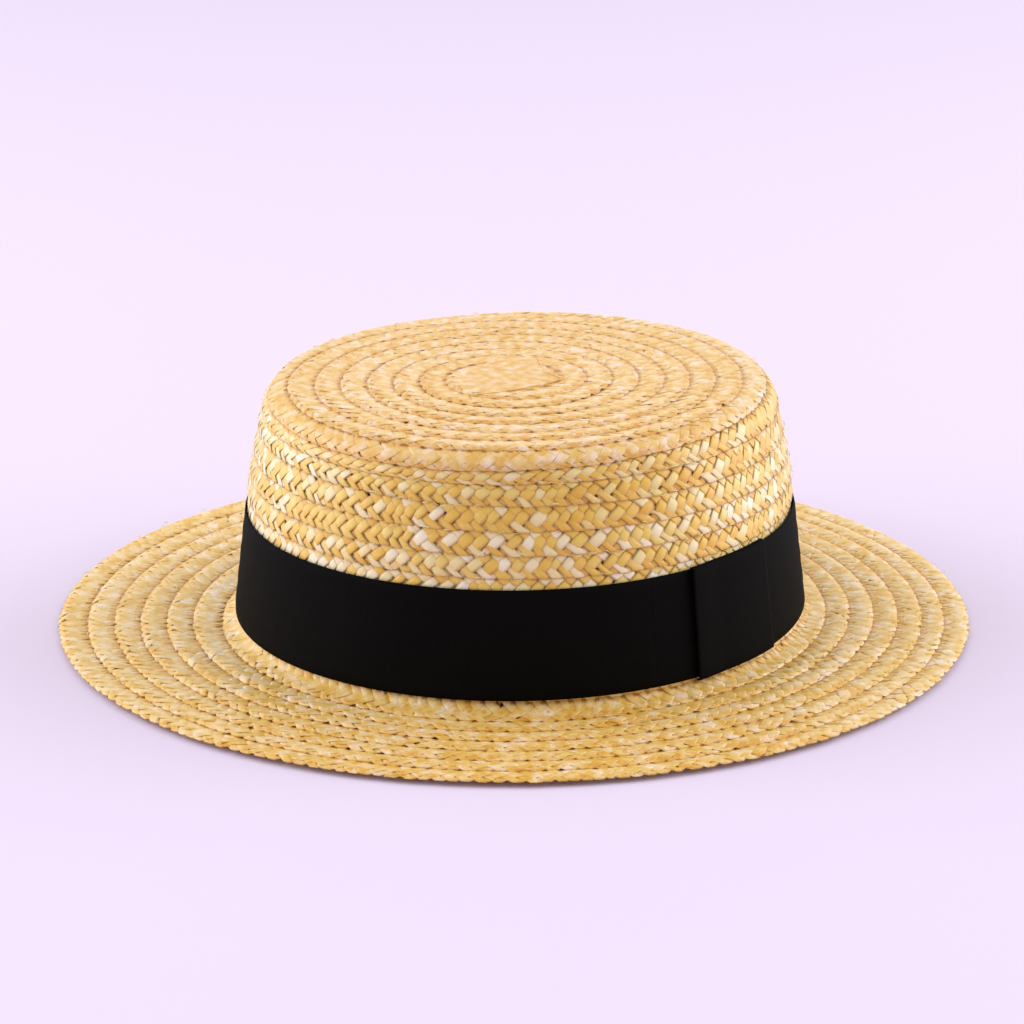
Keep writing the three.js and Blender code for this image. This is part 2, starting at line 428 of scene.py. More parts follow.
def put_straw_values(piece, tone, painted_shade, pressing):
    """The values the straw's material reads, for straw outside the plait, with a set share of
    painted shade.
    """
    values = {
        "straw_tone": tone, "straw_painted_shade": painted_shade, "pressing": pressing,
        "below_lip": FAR_FROM_LIP, "own_lip": FAR_FROM_LIP,
    }
    for key in STRAW_VALUES:
        put_values(piece, key, np.broadcast_to(values.get(key, 0), len(piece.data.vertices)))


# The plait

def lip_distance(turn):
    """The plait's outer edge, as distance from the tip's middle, after a number of turns.

    It moves out from one lip to the next in each turn: evenly on the crown, mostly
    at the back of the brim.
    """
    whole = np.floor(turn)
    part = turn - whole
    late = smooth(part, *MOVES_OUT)
    brim = np.clip(whole - FIRST_BRIM_TURN + 1, 0, 1)
    last = np.clip(whole - LAST_TURN + 2, 0, 1)
    mixed = part + brim * WAITING_SHARE * (late - part)
    mixed = mixed + last * (smooth(part, *LAST_MOVES_OUT) - mixed)
    low = np.clip(whole.astype(int), 0, LAST_TURN)
    high = np.clip(low + 1, 0, LAST_TURN)
    below = LIPS[low] + np.minimum(whole, 0) * FIRST_COURSE
    return below + (LIPS[high] - LIPS[low]) * mixed


def length_table():
    """Length along the plait at each turn, by adding up radius * angle."""
    turn = np.arange(FIRST_TURN, LAST_PLAIT_TURN + 0.5, 1 / STEPS_A_TURN)
    middle = np.maximum(lip_distance(turn) - 0.40 * PLAIT_WIDTH, 3.0)
    step = np.interp(middle, LINE_DISTANCE, LINE_RADIUS) * TURN / STEPS_A_TURN
    return turn, np.concatenate([[0], np.cumsum(step)[:-1]])


TURN_MARKS, LENGTH_MARKS = length_table()
LEGS = int(np.interp(LAST_PLAIT_TURN, TURN_MARKS, LENGTH_MARKS) / LEG / 2) * 2
PITCH_MARKS = np.arange(0, LENGTH_MARKS[-1] + 60, PITCH_STEP)
PITCH_DRAWS = np.clip(np.random.default_rng(3).normal(size=len(PITCH_MARKS)), -1.6, 1.6)


def pitch_wander(length):
    """How far the plait is pushed along at a length from its first end."""
    return PITCH_WANDER * np.interp(length, PITCH_MARKS, PITCH_DRAWS)


def leg_at(turn):
    """The even leg nearest to a turn of the spiral."""
    return int(np.interp(turn, TURN_MARKS, LENGTH_MARKS) / LEG / 2) * 2


def toward_sides(turn):
    """0 at the hat's front and back, 1 half way between: 0.5 - 0.5 * cos(2 * angle)."""
    return 0.5 - 0.5 * np.cos(2 * TURN * turn)


def by_pressing(pressed, pair):
    """From the pair's first value where domed to its second where pressed."""
    return np.interp(pressed, (0, 1), pair)


def straw_make_up(straw):
    """A straw's eight random draws and its shade, for each of its legs.

    The shade is mostly the straw's own, which changes where a new straw is laid in.
    """
    rng = np.random.default_rng(100 + straw)
    draws = np.clip(rng.normal(size=(LEGS + 2, 8)), -2, 2)
    laid_in = np.cumsum(rng.random(LEGS + 2) < NEW_STRAW)
    own = rng.random(laid_in[-1] + 1)[laid_in]
    own = np.where(own > NOT_PALE, 0.80 + 0.6 * own, 0.15 + 0.8 * own)
    marks = np.arange(LEGS + 2)
    stretch = np.interp(marks, marks[::7], np.random.default_rng(7).random(LEGS + 2)[::7])
    shade = STRAW_SHADE * own + LEG_SHADE * rng.random(LEGS + 2) + STRETCH_SHADE * stretch
    return draws, np.clip(shade + SHADE_BASE, 0, 1)


def straw_course(straw, near, number, edge_cell, draws):
    """A straw's place along the plait, its slip across it and its girth.

    Each is an even value plus the straw's own draws, eased from leg to leg.
    """
    marks = np.arange(LEGS + 2)
    drift = np.interp(near, marks + 0.5, draws[:, 0]) * DRIFT
    slip = np.interp(near, marks, draws[:, 3]) * SLIP
    slow = np.interp(near, marks[::6], draws[::6, 4])
    girth = 1 + LEG_GIRTH * draws[number, 1] + SLOW_GIRTH * slow
    girth = girth * (1 + EDGE_GIRTH * edge_cell * draws[number, 5])
    along = near * LEG + straw * STRAW_SPACING + drift
    return along + pitch_wander(along), slip, girth


def lip_knuckles(turn, from_next_lip):
    """The nearest lip's folds, counted along the plait without its wander."""
    lip_turn = np.where(from_next_lip < 3, turn - 1, turn)
    length = np.interp(lip_turn, TURN_MARKS, LENGTH_MARKS)
    return (length - pitch_wander(length)) / STRAW_SPACING


def plait(name, first_turn, last_turn):
    """Five straws carried along the spiral between two turns.

    Each straw zigzags between the plait's edges as a triangle wave and its level swings
    as LEG_STEPS gives. Its section is a lens, level + bulge on the face that is up and
    nothing at its two edges; u runs across the straw from -1 to 1, s along the plait and
    t across it from its lip. Pressing makes the faces broad and the levels even, except
    in the hollow beside the next lip. The whole plait leans in by the lip step for each
    course's width. Its lip rolls by the square of 1 - t / reach, and drops by a bell
    curve of t times the lip step.
    """
    first = leg_at(first_turn)
    legs = min(leg_at(last_turn), LEGS) - first
    count, ring = len(LEG_STEPS), len(RING)
    rows = legs * count + 1
    leg = np.repeat(np.arange(legs + 1), count)[:rows]
    way, level, square, width = np.tile(LEG_STEPS, (legs + 1, 1))[:rows].T
    number = first + leg
    near = number + way / STRAWS
    edge_cell = smooth(way, *TURNS_OVER)
    rising = leg % 2 == 0
    fold = way == 0
    lean = np.where(rising, -1, 1)[:, None]
    across = np.where(rising, way, STRAWS - way) * PLAIT_WIDTH / STRAWS
    side = RING[:, 1][None, :]
    up_face = -lean * side
    quads = ring_faces(rows, ring)
    points, faces, uvs = [], [], []
    values = {key: [] for key in STRAW_VALUES}
    for straw in range(STRAWS):
        draws, shades = straw_make_up(straw)
        along, slip, girth = straw_course(straw, near, number, edge_cell, draws)
        middle_turn = np.interp(along, LENGTH_MARKS, TURN_MARKS)
        relief, pressed, step = [
            np.interp(middle_turn, FINISH[:, 0], FINISH[:, i]) for i in (1, 2, 3)]
        press = pressed * (1 - HOLLOW_SHARE * smooth(across, *HOLLOW))

        # Places along and across the plait
        half = STRAW_HALF * girth * width * (1 + PRESSED_WIDTH * pressed)
        swing = (1 - square) / math.sin(SLANT) + square * math.sin(SLANT)
        flatness = np.maximum(press, SIDE_FLATNESS * toward_sides(middle_turn))
        broad = (PRESSED_FACE * flatness * square)[:, None]
        u = RING[:, 0] + np.sign(RING[:, 0]) * np.abs(RING[:, 1]) * broad
        s = along[:, None] + u * (half * swing)[:, None]
        t = (across + slip * np.where(fold, 0.5, 1))[:, None]
        t = t + lean * u * (half * square * math.cos(SLANT))[:, None]
        t = t + fold[:, None] * lean * (np.where(side == lean, FOLD_OUT, FOLD_IN) * np.abs(side))
        notch = by_pressing(pressed, NOTCH) * (1 - square)
        t = t + np.where(across < PLAIT_WIDTH / 2, 1, -1)[:, None] * notch[:, None] * u * u

        # Height over the hat's outer line
        height = level * (1 - PRESSED_LEVEL * press)
        height = height + LEVEL_CHANGE * (level > 0) * draws[number, 2]
        height = height - EDGE_SINK * edge_cell * (1 + draws[number, 6])
        bulge = BULGE + up_face * BULGE_CHANGE * (level / OVER)[:, None]
        lens = np.where(fold[:, None], 0, up_face * bulge)
        peak = OVER * (1 - PRESSED_LEVEL * pressed) + BULGE + BULGE_CHANGE
        turn = np.interp(s, LENGTH_MARKS, TURN_MARKS)
        edge = lip_distance(turn)
        exposed = np.maximum(edge - lip_distance(turn - 1), 5.0)
        sides = toward_sides(turn)
        soft = relief[:, None] * (1 - SIDE_SOFTENING * sides * (1 - pressed[:, None]))
        lift = soft * ((height - peak)[:, None] + lens)
        lift = lift - step[:, None] * np.minimum(t / exposed, DEEPEST_TUCK)
        knuckle = by_pressing(pressed, KNUCKLE)
        lift = lift + (knuckle * (1 - square) * ~fold)[:, None] * (0.4 - u * u)
        rolled = by_pressing(pressed, EDGE_ROLL)[:, None]
        roll = rolled * np.clip(1 - t / ROLL_REACH, 0, 1.2) ** 2
        fall = by_pressing(pressed, EDGE_DROP) * step
        drop = fall[:, None] * np.exp(-(t / DROP_REACH) ** 2) * (1.0 - 0.25 * u * u)
        lift = lift - roll - drop
        room = np.clip((edge - 0.3) / PLAIT_WIDTH, 0.05, 1)
        place = hat_point(edge - t * room, FRONT_ANGLE + TURN * turn, lift)
        points.append(place.reshape(-1, 3))

        # What the material reads
        # Painted shade: darker where a straw passes under the others and at its edges, less where
        # pressed
        under_shade = 0.8 * np.clip(0.5 - 0.5 * level / OVER, 0, 1)
        edge_shade = (side == 0) * (0.40 - 0.15 * pressed)[:, None]
        stands_out = np.clip(step, 0, 1)
        far = FAR_FROM_LIP * (1 - pressed * stands_out)
        values["straw_tone"].append(np.repeat(shades[number], ring))
        values["straw_painted_shade"].append(np.clip(under_shade[:, None] + edge_shade, 0, 1).reshape(-1))
        values["plait_length"].append(s.reshape(-1))
        values["below_lip"].append((exposed - t).reshape(-1))
        values["pressing"].append(np.repeat(pressed / MOST_PRESSED, ring))
        values["combed"].append((smooth(sides, 0.25, 0.85) * stands_out[:, None]).reshape(-1))
        values["own_lip"].append((t + far[:, None]).reshape(-1))
        values["knuckle"].append(lip_knuckles(turn, exposed - t).reshape(-1))
        uvs.append(np.stack([
            (u * half[:, None]).reshape(-1),
            np.repeat((near + straw * 37.3) * LEG / math.cos(SLANT), ring),
        ], axis=-1))
        base = straw * rows * ring
        faces += [quads + base, RING_END + base, RING_END[:, ::-1] + base + (rows - 1) * ring]
    piece = surface(name, np.vstack(points), np.vstack(faces), uv=np.vstack(uvs))
    for key in STRAW_VALUES:
        put_values(piece, key, np.concatenate(values[key]))
    return piece


def plait_start(name):
    """A thin flat leaf: rings of a closed outline, shrunk to its middle, at set heights."""
    outline = np.vstack([START_OUTLINE, START_OUTLINE[:1]])
    marks = np.arange(len(outline))
    fine = np.linspace(0, len(START_OUTLINE), 96, endpoint=False)
    edge = np.stack([np.interp(fine, marks, outline[:, i]) for i in (0, 1)], -1)
    edge[:, 0] += 0.35 * np.sin(fine * 5)
    middle = edge.mean(axis=0)
    flat = middle + START_RINGS[:, 0][:, None, None] * (edge - middle)[None]
    height = np.broadcast_to(START_RINGS[:, 1][:, None, None] + TIP_Z, flat.shape[:2] + (1,))
    points = np.concatenate([flat, height], -1).reshape(-1, 3)
    count, rings = len(edge), len(START_RINGS)
    half = np.arange(0, count // 2)
    cap = np.stack([half[:-1], count - 1 - half[:-1], count - 1 - half[1:], half[1:]], -1)
    last = cap[:, ::-1] + (rings - 1) * count
    faces = np.vstack([ring_faces(rings, count), cap, last])
    piece = surface(name, points, faces, uv=points[:, :2])
    x, y = points[:, 0], points[:, 1]
    tone = 0.45 + 0.35 * np.sin(1.1 * x + 0.5 * y) + 0.35 * np.sin(1.2 * y - 0.8 * x + 1.0)
    put_straw_values(piece, tone=tone, painted_shade=0.25, pressing=1.0)
    return piece


def start_edge(name):
    """The folded edge of the first end: a closed cord carried along START_EDGE.

    Its girth goes with the root of the sine of the way along, so it is thin at both ends.
    """
    fine = np.linspace(0, len(START_EDGE) - 1, 90)
    marks = np.arange(len(START_EDGE))
    line = np.stack([np.interp(fine, marks, START_EDGE[:, i]) for i in (0, 1)], -1)
    along = np.gradient(line, axis=0)
    along /= np.linalg.norm(along, axis=1)[:, None]
    across = np.stack([along[:, 1], -along[:, 0]], -1)
    share = np.linspace(0.02, 0.98, len(line))
    girth = START_EDGE_GIRTH * np.sqrt(np.sin(math.pi * share)) * (1 + 0.25 * np.sin(fine * 7))
    ring = len(RING)
    spoke = TURN * np.arange(ring) / ring
    flat = line[:, None, :] + (girth[:, None] * np.cos(spoke))[:, :, None] * across[:, None, :]
    height = TIP_Z - 0.02 + 0.8 * girth[:, None] * np.sin(spoke)
    points = np.concatenate([flat, height[:, :, None]], -1).reshape(-1, 3)
    far_end = RING_END[:, ::-1] + (len(line) - 1) * ring
    faces = np.vstack([ring_faces(len(line), ring), RING_END, far_end])
    piece = surface(name, points, faces, uv=np.zeros((len(points), 2)))
    put_straw_values(piece, tone=0.35, painted_shade=0.35, pressing=1.0)
    return piece


def stray_fibres(name, first_turn, last_turn, number, longest, seed):
    """Short curled slivers of straw that stand a little off the lips: thin closed spindles.

    Each runs at its own slant across its lip and tapers as the root of 1 - v * v.
    """
    rings, ring = 6, 4
    rng = np.random.default_rng(seed)
    turn = rng.uniform(first_turn, last_turn, number)[:, None]
    v = np.linspace(-0.98, 0.98, rings)[None, :]
    length = rng.uniform(0.4, 1.0, number)[:, None] * longest
    slant = rng.normal(0, 0.55, number)[:, None]
    bend = rng.normal(0, 0.45, number)[:, None]
    off = rng.normal(0.2, 0.55, number)[:, None]
    lift = rng.uniform(-0.70, -0.08, number)[:, None]
    run = 0.5 * length * v * np.cos(slant)
    across = off + 0.5 * length * v * np.sin(slant) + bend * (1 - v * v)
    girth = rng.uniform(0.10, 0.26, number)[:, None] * np.sqrt(1 - v * v)
    spoke = TURN * np.arange(ring) / ring
    reach = TURN * np.interp(lip_distance(turn), LINE_DISTANCE, LINE_RADIUS)
    here = (turn + run / reach)[:, :, None]
    out = lip_distance(here) - (across[:, :, None] + girth[:, :, None] * np.cos(spoke))
    rise = (lift + 0.35 * (1 - v * v))[:, :, None] + 0.6 * girth[:, :, None] * np.sin(spoke)
    points = hat_point(out, FRONT_ANGLE + TURN * here, rise).reshape(-1, 3)
    base = np.arange(number)[:, None] * rings * ring
    quads = (base[:, :, None] + ring_faces(rings, ring)[None]).reshape(-1, 4)
    end = base + np.array([[3, 2, 1, 0]])
    faces = np.vstack([quads, end, end[:, ::-1] + (rings - 1) * ring])
    piece = surface(name, points, faces, uv=np.zeros((len(points), 2)))
    tone = np.repeat(rng.uniform(0.35, 1.0, number), rings * ring)
    put_straw_values(piece, tone=tone, painted_shade=0.0, pressing=0.0)
    return piece


# The ribbon

def ribbon_radius(z):
    """The ribbon's outer radius at a height: a straight line from its low edge to its high."""
    share = (z - RIBBON_LOW) / (RIBBON_HIGH - RIBBON_LOW)
    return RIBBON_LOW_RADIUS + share * (RIBBON_HIGH_RADIUS - RIBBON_LOW_RADIUS)


def hat_ribbon(name):
    """A closed hoop: across it runs a thin flat section, along it the crown's oval.

    Its radius follows the courses below it with a faint sine wave of the height.
    """
    columns, rows = 480, 15
    angle = np.linspace(0, TURN, columns, endpoint=False)
    v = np.linspace(0, 1, rows)
    z = RIBBON_LOW + v * (RIBBON_HIGH - RIBBON_LOW)
    wave = RIBBON_WAVE * np.sin(TURN * (z[None, :] - 5.4) / SIDE_COURSE + angle[:, None])
    outer = ribbon_radius(z)[None, :] + wave
    rounding = RIBBON_EDGE_ROUNDING * (np.abs(2 * v - 1) > 0.999)[None, :]
    inside = (outer - RIBBON_THICKNESS + rounding)[:, ::-1]
    radius = np.concatenate([outer - rounding, inside], axis=1)
    height = np.tile(np.concatenate([z, z[::-1]]), (columns, 1))
    x, y = crown_oval(radius, angle[:, None])
    points = np.stack([x, y, height], axis=-1).reshape(-1, 3)
    ring = rows * 2
    quads = turned_over(ring_faces(columns, ring, joined=True))
    across = np.concatenate([v, v[::-1]]) * (RIBBON_HIGH - RIBBON_LOW)
    along = np.repeat(angle * RIBBON_MIDDLE_RADIUS, ring)
    return surface(name, points, quads, uv=np.stack([along, np.tile(across, columns)], -1))


def keeper(name):
    """A flat strip round both edges of the band: a closed C section carried along its width.

    One edge stands off the band, fading as a smooth step across the strip.
    """
    columns, face_rows, turned = 41, 13, 3
    angle = KEEPER_MIDDLE + np.linspace(-KEEPER_HALF, KEEPER_HALF, columns)
    low, high = RIBBON_LOW - 0.3, RIBBON_HIGH + 0.25
    reach = np.linspace(0, 1, turned + 1)[1:]
    z = np.concatenate([
        np.full(turned, low - 0.3), np.linspace(low, high, face_rows), np.full(turned, high + 0.22)])
    stand = np.concatenate([
        -KEEPER_BACK * reach[::-1], np.full(face_rows, KEEPER_STAND), -KEEPER_BACK * reach])
    path = np.stack([ribbon_radius(np.clip(z, RIBBON_LOW, RIBBON_HIGH)) + stand, z], -1)
    tangent = np.gradient(path, axis=0)
    tangent /= np.linalg.norm(tangent, axis=1)[:, None]
    normal = np.stack([tangent[:, 1], -tangent[:, 0]], -1)
    half = RIBBON_THICKNESS / 2
    closed = np.concatenate([path + normal * half, (path - normal * half)[::-1]])
    free_edge = 1 - smooth(np.linspace(0, 1, columns), 0, KEEPER_FREE_EDGE)
    x, y = crown_oval(closed[:, 0][None, :] + free_edge[:, None], angle[:, None])
    points = np.stack([x, y, np.tile(closed[:, 1], (columns, 1))], -1).reshape(-1, 3)
    ring = len(closed)
    i = np.arange(len(path) - 1)
    cap = np.stack([i, i + 1, ring - 2 - i, ring - 1 - i], -1)
    far_cap = cap[:, ::-1] + (columns - 1) * ring
    quads = np.vstack([turned_over(ring_faces(columns, ring)), cap, far_cap])
    run = np.concatenate([[0], np.cumsum(np.linalg.norm(np.diff(path, axis=0), axis=1))])
    along = np.tile(np.concatenate([run, run[::-1]]), columns)
    across = np.repeat((angle - KEEPER_MIDDLE) * RIBBON_MIDDLE_RADIUS, ring)
    return surface(name, points, quads, uv=np.stack([along, across], -1))


# Materials

def nodes_of(material):
    """A material's tree, nodes, links and shader."""
    material.use_nodes = True
    tree = material.node_tree
    return tree, tree.nodes, tree.links, tree.nodes["Principled BSDF"]


def math_node(tree, operation, *values):
    """A math node whose inputs are numbers or other nodes' outputs; returns its output."""
    node = tree.nodes.new("ShaderNodeMath")
    node.operation = operation
    for i, value in enumerate(values):
        if isinstance(value, bpy.types.NodeSocket):
            tree.links.new(value, node.inputs[i])
        else:
            node.inputs[i].default_value = value
    return node.outputs[0]


def map_node(tree, value, low, high, to_low=0.0, to_high=1.0):
    """A smooth step of a value from one range to another."""
    node = tree.nodes.new("ShaderNodeMapRange")
    node.interpolation_type = "SMOOTHSTEP"
    tree.links.new(value, node.inputs["Value"])
    node.inputs["From Min"].default_value = low
    node.inputs["From Max"].default_value = high
    node.inputs["To Min"].default_value = to_low
    node.inputs["To Max"].default_value = to_high
    return node.outputs["Result"]


def noise_node(tree, vector, scale, detail):
    """Noise over a vector that is in millimetres or metres."""
    node = tree.nodes.new("ShaderNodeTexNoise")
    node.inputs["Scale"].default_value = scale
    node.inputs["Detail"].default_value = detail
    tree.links.new(vector, node.inputs["Vector"])
    return node.outputs["Fac"]


def mix_colour(tree, blend, factor, first, second):
    """A colour mix; the factor and both colours may be numbers or outputs."""
    node = tree.nodes.new("ShaderNodeMix")
    node.data_type = "RGBA"
    node.blend_type = blend
    for socket, value in (("Factor", factor), ("A", first), ("B", second)):
        if isinstance(value, bpy.types.NodeSocket):
            tree.links.new(value, node.inputs[socket])
        elif socket == "Factor":
            node.inputs[socket].default_value = value
        else:
            node.inputs[socket].default_value = (*value, 1)
    return node.outputs["Result"]


def ramp_node(tree, factor, stops):
    """A colour ramp over a factor."""
    node = tree.nodes.new("ShaderNodeValToRGB")
    while len(node.color_ramp.elements) < len(stops):
        node.color_ramp.elements.new(0.5)
    for element, (share, colour) in zip(node.color_ramp.elements, stops):
        element.position = share
        element.color = (*colour, 1)
    tree.links.new(factor, node.inputs["Fac"])
    return node.outputs["Color"]


def bump_nodes(nodes, links, shader, height, distance):
    """A bump from a height on the shader's normal."""
    bump = nodes.new("ShaderNodeBump")
    bump.inputs["Strength"].default_value = 0.5
    bump.inputs["Distance"].default_value = distance
    links.new(height, bump.inputs["Height"])
    links.new(bump.outputs["Normal"], shader.inputs["Normal"])


def slit_group():
    """Where painted shade goes: short slits across the plait in the hollow below each lip, in ragged
    stretches.

    Mask = (slit by place along, one each Pitch) * (fades out at Reach from the lip) *
    (ragged stretches from slow noise). Band is the fade alone.
    """
    tree = bpy.data.node_groups.new("lip_slit_shade", "ShaderNodeTree")
    for name in ("Along", "From Lip", "Pitch", "Reach"):
        tree.interface.new_socket(name=name, in_out="INPUT", socket_type="NodeSocketFloat")
    for name in ("Mask", "Band"):
        tree.interface.new_socket(name=name, in_out="OUTPUT", socket_type="NodeSocketFloat")
    inside = tree.nodes.new("NodeGroupInput")
    outside = tree.nodes.new("NodeGroupOutput")
    along, lip, pitch, reach = [inside.outputs[i] for i in range(4)]
    place = tree.nodes.new("ShaderNodeCombineXYZ")
    tree.links.new(along, place.inputs["X"])
    wander = noise_node(tree, place.outputs[0], 0.30, 2.0)
    stretch = noise_node(tree, place.outputs[0], 0.045, 3.0)
    phase = math_node(tree, "DIVIDE", along, pitch)
    phase = math_node(tree, "MULTIPLY_ADD", wander, 1.6, phase)
    ridge = math_node(tree, "PINGPONG", phase, 0.5)
    slit = map_node(tree, ridge, 0.05, 0.24, 1.0, 0.0)
    ragged = math_node(tree, "MULTIPLY_ADD", wander, 0.9, 0.55)
    share = math_node(tree, "DIVIDE", lip, math_node(tree, "MULTIPLY", reach, ragged))
    near = map_node(tree, share, 0.55, 1.0, 1.0, 0.0)
    some = map_node(tree, stretch, 0.40, 0.58, 0.12, 1.0)
    mask = math_node(tree, "MULTIPLY", math_node(tree, "MULTIPLY", slit, near), some)
    tree.links.new(mask, outside.inputs["Mask"])
    tree.links.new(near, outside.inputs["Band"])
    return tree


def straw_material(name, slits, pressed_shade_tint):
    """Straw: each crossing's own tone where domed, soft blotches where pressed, with streaks.

    Painted shade: brown below a lip, in dashes between the knuckles of the lips, on the
    straws' edges and where they pass under, and in slits of a given pitch, reach and
    strength below each lip at the sides. The tint laid over the pressed straw is painted
    shade, darker on the crown than on the brim, with a shift of hue.
    """
    material = bpy.data.materials.new(name)
    tree, nodes, links, shader = nodes_of(material)
    values = {}
    for key in STRAW_VALUES:
        reader = nodes.new("ShaderNodeAttribute")
        reader.attribute_name = key
        values[key] = reader.outputs["Fac"]

    # The straw's own colour, with the painted shade tint laid over the pressed straw
    uv = nodes.new("ShaderNodeUVMap")
    uv.uv_map = "UVMap"
    stretch = nodes.new("ShaderNodeMapping")
    stretch.inputs["Scale"].default_value = (5200, 160, 1)
    links.new(uv.outputs["UV"], stretch.inputs["Vector"])
    streak = noise_node(tree, stretch.outputs["Vector"], 1.0, 3.0)
    place = nodes.new("ShaderNodeTexCoord")
    patch = noise_node(tree, place.outputs["Object"], 260.0, 3.0)
    tone = math_node(tree, "MULTIPLY_ADD", streak, 0.5, -0.25)
    domed = math_node(tree, "ADD", values["straw_tone"], tone)
    flat = math_node(tree, "MULTIPLY_ADD", values["straw_tone"], 0.45, tone)
    flat = math_node(tree, "MULTIPLY_ADD", patch, 2.5, flat)
    flat = math_node(tree, "ADD", flat, -1.03)
    colour = mix_colour(
        tree, "MIX", values["pressing"],
        ramp_node(tree, domed, SIDE_SHADES),
        mix_colour(tree, "MULTIPLY", 1.0, ramp_node(tree, flat, PRESSED_SHADES), pressed_shade_tint))

    # Painted shade below a lip, broken into blotches
    under_lip_shade = map_node(tree, values["below_lip"], -0.5, 1.2, 1.0, 0.0)
    broken = map_node(tree, patch, 0.38, 0.60, 0.15, 1.0)
    under_lip_shade = math_node(tree, "MULTIPLY", under_lip_shade, broken)
    colour = mix_colour(tree, "MULTIPLY", under_lip_shade, colour, UNDER_LIP_SHADE_BROWN)

    # Painted shade in dashes between knuckles, weaker at the hat's sides
    notch = map_node(tree, math_node(tree, "PINGPONG", values["knuckle"], 0.5), 0.20, 0.38)
    beside = math_node(
        tree, "MAXIMUM",
        map_node(tree, values["own_lip"], 0.1, 0.9, 1.0, 0.0),
        math_node(tree, "MULTIPLY", values["pressing"],
                  map_node(tree, values["below_lip"], 0.3, 1.3, 1.0, 0.0)))
    ahead = math_node(tree, "MULTIPLY_ADD", values["combed"], -0.65, 0.95)
    dash_shade = math_node(tree, "MULTIPLY", math_node(tree, "MULTIPLY", notch, beside), ahead)
    colour = mix_colour(tree, "MULTIPLY", dash_shade, colour, DASH_SHADE_BROWN)

    # Painted crevice shade at the straws' edges and where they pass under, less at the hat's sides
    front = math_node(tree, "MULTIPLY_ADD", values["combed"], -0.65, 1.0)
    crevice_shade = math_node(tree, "MULTIPLY", values["straw_painted_shade"], front)
    colour = mix_colour(tree, "MULTIPLY", crevice_shade, colour, CREVICE_SHADE_GOLD)

    # Painted shade at the hat's sides: a golden band and brown slits below each lip
    group = nodes.new("ShaderNodeGroup")
    group.node_tree = lip_slit_shade
    links.new(values["plait_length"], group.inputs["Along"])
    links.new(values["below_lip"], group.inputs["From Lip"])
    group.inputs["Pitch"].default_value = slits[0]
    group.inputs["Reach"].default_value = slits[1]
    strength = math_node(tree, "MULTIPLY", values["combed"], slits[2])
    slit_shade = math_node(tree, "MULTIPLY", group.outputs["Mask"], strength)
    faint = math_node(tree, "MULTIPLY", strength, 0.6)
    lip_shade = math_node(tree, "MULTIPLY", group.outputs["Band"], faint)
    colour = mix_colour(tree, "MULTIPLY", lip_shade, colour, LIP_SHADE_GOLD)
    colour = mix_colour(tree, "MIX", slit_shade, colour, SLIT_SHADE_BROWN)
    links.new(colour, shader.inputs["Base Color"])

    # Gloss and fine relief
    shader.inputs["Roughness"].default_value = 0.36
    gloss = math_node(tree, "MULTIPLY_ADD", slit_shade, -0.45, 0.5)
    links.new(gloss, shader.inputs["Specular IOR Level"])
    sheen = math_node(tree, "MULTIPLY_ADD", values["pressing"], -0.4, 0.4)
    links.new(sheen, shader.inputs["Sheen Weight"])
    shader.inputs["Sheen Roughness"].default_value = 0.35
    height = math_node(tree, "MULTIPLY_ADD", slit_shade, -1.5, streak)
    height = math_node(tree, "ADD", patch, height)
    bump_nodes(nodes, links, shader, height, 0.0002)
    return material


def ribbon_material(name):
    """Ribbed ribbon: near black, with ribs across it every 0.7 mm."""
    material = bpy.data.materials.new(name)
    _, nodes, links, shader = nodes_of(material)
    shader.inputs["Base Color"].default_value = RIBBON_BLACK
    shader.inputs["Roughness"].default_value = 0.75
    shader.inputs["Specular IOR Level"].default_value = 0.05
    uv = nodes.new("ShaderNodeUVMap")
    uv.uv_map = "UVMap"
    wave = nodes.new("ShaderNodeTexWave")
    wave.wave_type = "BANDS"
    wave.bands_direction = "X"
    wave.inputs["Scale"].default_value = TURN / 20 / RIB_PITCH
    links.new(uv.outputs["UV"], wave.inputs["Vector"])
    bump_nodes(nodes, links, shader, wave.outputs["Fac"], 0.00012)
    return material


# The hat

lip_slit_shade = slit_group()
crown_straw = straw_material("crown_straw", CROWN_SLIT_SHADE, CROWN_SHADE_TINT)
brim_straw = straw_material("brim_straw", BRIM_SLIT_SHADE, BRIM_SHADE_TINT)
ribbon_cloth = ribbon_material("black_ribbed_ribbon")

straw_pieces = [
    (plait("tip_plait", FIRST_TURN, 9.0), crown_straw, "crown"),
    (plait("upper_side_plait", 9.0, 14.4), crown_straw, "crown"),
    (plait("lower_side_plait", 14.4, 19.5), crown_straw, "crown"),
    (plait("inner_brim_plait", 19.5, 23.3), brim_straw, "brim"),
    (plait("outer_brim_plait", 23.3, LAST_PLAIT_TURN), brim_straw, "brim"),
    (plait_start("plait_start"), crown_straw, "crown"),
    (start_edge("plait_start_edge"), crown_straw, "crown"),
    (stray_fibres("side_stray_fibres", 9.6, 16.6, 460, 4.2, 5), crown_straw, "crown"),
    (stray_fibres("tip_stray_fibres", 2.5, 9.6, 110, 2.4, 6), crown_straw, "crown"),
    (stray_fibres("brim_stray_fibres", 19.7, 26.3, 420, 3.0, 8), brim_straw, "brim"),
]
for piece, finish, node in straw_pieces:
    piece.data.materials.append(finish)
    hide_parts(node)
    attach(piece, "root")

band = hat_ribbon("ribbon_band")
band.data.materials.append(ribbon_cloth)
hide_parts("hat_band")
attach(band, "root")

keeper_piece = keeper("ribbon_keeper")
keeper_piece.data.materials.append(ribbon_cloth)
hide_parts("band_keeper")
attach(keeper_piece, "root")


# The setting

